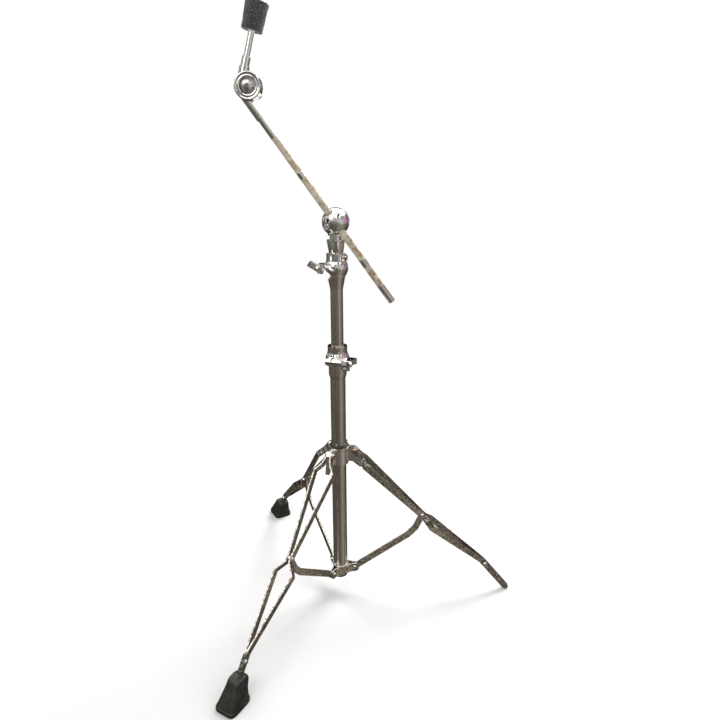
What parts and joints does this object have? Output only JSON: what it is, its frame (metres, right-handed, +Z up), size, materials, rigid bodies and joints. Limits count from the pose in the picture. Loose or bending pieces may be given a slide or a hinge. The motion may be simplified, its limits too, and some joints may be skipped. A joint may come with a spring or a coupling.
{
  "type": "cymbal boom stand",
  "caption": "Chromed cymbal boom stand: folding double-braced tripod, telescoping mast, ball boom tilter, knurled arm, cymbal tilter with felts, one rubber foot missing.",
  "frame": {"origin": "on the floor, on the axis of the mast", "axes": "+Z up the mast, +X along the right leg, the boom swings in the XZ plane and leans towards -X"},
  "size_m": [0.5734, 0.6702, 1.142],
  "materials": {
    "chrome": "aged mirror chrome",
    "tube_chrome": "aged mirror chrome",
    "leg_chrome": "pitted chrome with rust specks",
    "knurled_chrome": "knurled, worn and rust spotted",
    "zinc": "bright zinc",
    "foot_rubber": "matt",
    "felt": "compressed wool felt",
    "black_nylon": "satin",
    "white_nylon": "satin"
  },
  "bodies": {
    "base": {"base_tube": "tube_chrome", "tube_end_plug": "black_nylon", "lower_bracket": "leg_chrome", "bracket_rivets": "zinc", "base_clamp_collar": "chrome", "base_clamp_bolt": "zinc"},
    "base_wing": {"base_wing_nut": "chrome"},
    "collar": {"leg_collar": "chrome", "leg_collar_bushing": "black_nylon", "leg_pivot_bolts": "zinc"},
    "collar_screw": {"leg_collar_wing_screw": "chrome"},
    "right_leg": {"right_leg_left_strip": "leg_chrome", "right_leg_right_strip": "leg_chrome", "right_leg_joint_rivet": "zinc", "right_leg_tip_rivet": "zinc"},
    "front_leg": {"front_leg_left_strip": "leg_chrome", "front_leg_right_strip": "leg_chrome", "front_leg_joint_rivet": "zinc", "front_leg_tip_rivet": "zinc", "front_foot": "foot_rubber"},
    "rear_leg": {"rear_leg_left_strip": "leg_chrome", "rear_leg_right_strip": "leg_chrome", "rear_leg_joint_rivet": "zinc", "rear_leg_tip_rivet": "zinc", "rear_foot": "foot_rubber"},
    "right_stay": {"right_stay": "leg_chrome"},
    "front_stay": {"front_stay": "leg_chrome"},
    "rear_stay": {"rear_stay": "leg_chrome"},
    "base_turner": {"base_bushing": "black_nylon"},
    "middle": {"middle_tube": "tube_chrome", "middle_clamp_collar": "chrome", "middle_clamp_bolt": "zinc"},
    "middle_wing": {"middle_wing_nut": "chrome"},
    "middle_lock": {"middle_memory_lock": "chrome", "middle_lock_screw": "zinc"},
    "upper_turner": {"middle_bushing": "black_nylon"},
    "upper": {"upper_tube": "tube_chrome", "upper_memory_lock": "chrome", "upper_lock_screw": "zinc", "tilter_yoke": "chrome", "tilt_washer": "black_nylon"},
    "holder": {"arm_holder": "chrome", "holder_key_screw": "zinc", "badge_plate": "chrome", "eye_bolt": "zinc"},
    "boom_wing": {"boom_wing_nut": "chrome"},
    "arm_turner": {"arm_liner": "black_nylon"},
    "arm": {"boom_arm": "knurled_chrome", "tilter_lower": "chrome", "ferrule_set_screw": "zinc", "head_bolt": "zinc", "head_washer": "black_nylon"},
    "head_wing": {"head_wing_nut": "chrome"},
    "cymbal_arm": {"tilter_upper": "chrome", "head_cap_nut": "chrome", "cymbal_rod": "chrome", "cymbal_sleeve": "white_nylon", "lower_felt": "felt"},
    "top_felt": {"upper_felt": "felt"}
  },
  "joints": [
    {"name": "base_wing_nut_turn", "type": "hinge", "parent": "base", "child": "base_wing", "pos_m": [-0.00912, -0.02806, 0.531], "axis": [0.9511, -0.309, 0], "continuous": true},
    {"name": "leg_collar_slide", "type": "slide", "parent": "base", "child": "collar", "axis": [0, 0, 1], "range_m": [0, 0.1187]},
    {"name": "leg_collar_screw_turn", "type": "hinge", "parent": "collar", "child": "collar_screw", "pos_m": [0, 0, 0.327], "axis": [0.2756, 0.9613, 0], "continuous": true},
    {"name": "right_leg_fold", "type": "hinge", "parent": "collar", "child": "right_leg", "pos_m": [0.033, 0, 0.335], "axis": [0, 1, 0], "range_deg": [0, 41.2]},
    {"name": "front_leg_fold", "type": "hinge", "parent": "collar", "child": "front_leg", "pos_m": [-0.0165, -0.02858, 0.335], "axis": [0.866, -0.5, 0], "range_deg": [0, 41.2]},
    {"name": "rear_leg_fold", "type": "hinge", "parent": "collar", "child": "rear_leg", "pos_m": [-0.0165, 0.02858, 0.335], "axis": [-0.866, -0.5, 0], "range_deg": [0, 41.2]},
    {"name": "right_stay_fold", "type": "hinge", "parent": "base", "child": "right_stay", "pos_m": [0.031, 0, 0.056], "axis": [0, -1, 0], "range_deg": [0, 45.7]},
    {"name": "front_stay_fold", "type": "hinge", "parent": "base", "child": "front_stay", "pos_m": [-0.0155, -0.02685, 0.056], "axis": [-0.866, 0.5, 0], "range_deg": [0, 45.7]},
    {"name": "rear_stay_fold", "type": "hinge", "parent": "base", "child": "rear_stay", "pos_m": [-0.0155, 0.02685, 0.056], "axis": [0.866, 0.5, 0], "range_deg": [0, 45.7]},
    {"name": "middle_tube_turn", "type": "hinge", "parent": "base", "child": "base_turner", "pos_m": [0, 0, 0.543], "axis": [0, 0, 1], "continuous": true},
    {"name": "middle_tube_slide", "type": "slide", "parent": "base_turner", "child": "middle", "axis": [0, 0, 1], "range_m": [0, 0.215]},
    {"name": "middle_wing_nut_turn", "type": "hinge", "parent": "middle", "child": "middle_wing", "pos_m": [-0.029, -0.00051, 0.7065], "axis": [0.0175, -0.9998, 0], "continuous": true},
    {"name": "middle_lock_slide", "type": "slide", "parent": "middle", "child": "middle_lock", "axis": [0, 0, 1], "range_m": [0, 0.1]},
    {"name": "upper_tube_turn", "type": "hinge", "parent": "middle", "child": "upper_turner", "pos_m": [0, 0, 0.7185], "axis": [0, 0, 1], "range_deg": [-50, 205]},
    {"name": "upper_tube_slide", "type": "slide", "parent": "upper_turner", "child": "upper", "axis": [0, 0, 1], "range_m": [0, 0.25]},
    {"name": "boom_tilt", "type": "hinge", "parent": "upper", "child": "holder", "pos_m": [0, 0, 0.789], "axis": [0, -1, 0], "range_deg": [0, 100]},
    {"name": "boom_wing_nut_turn", "type": "hinge", "parent": "holder", "child": "boom_wing", "pos_m": [0, 0, 0.789], "axis": [0, 1, 0], "continuous": true},
    {"name": "boom_arm_turn", "type": "hinge", "parent": "holder", "child": "arm_turner", "pos_m": [0, -0.0125, 0.789], "axis": [-0.5835, 0, 0.8121], "continuous": true},
    {"name": "boom_arm_slide", "type": "slide", "parent": "arm_turner", "child": "arm", "axis": [-0.5835, 0, 0.8121], "range_m": [-0.16, 0.13]},
    {"name": "cymbal_tilter_tilt", "type": "hinge", "parent": "arm", "child": "cymbal_arm", "pos_m": [-0.14221, -0.0125, 1.01141], "axis": [0, 1, 0], "range_deg": [-75, 60]},
    {"name": "cymbal_tilter_nut_turn", "type": "hinge", "parent": "arm", "child": "head_wing", "pos_m": [-0.14221, -0.0125, 1.01141], "axis": [0, 1, 0], "continuous": true},
    {"name": "upper_felt_lift", "type": "slide", "parent": "cymbal_arm", "child": "top_felt", "axis": [0.2656, 0, 0.9641], "range_m": [0, 0.03]}
  ],
  "couplings": [
    {"joint": "right_leg_fold", "follows": "leg_collar_slide", "rad_per_m": 6.03},
    {"joint": "front_leg_fold", "follows": "leg_collar_slide", "rad_per_m": 6.03},
    {"joint": "rear_leg_fold", "follows": "leg_collar_slide", "rad_per_m": 6.03},
    {"joint": "right_stay_fold", "follows": "leg_collar_slide", "rad_per_m": 6.6902},
    {"joint": "front_stay_fold", "follows": "leg_collar_slide", "rad_per_m": 6.6902},
    {"joint": "rear_stay_fold", "follows": "leg_collar_slide", "rad_per_m": 6.6902}
  ]
}
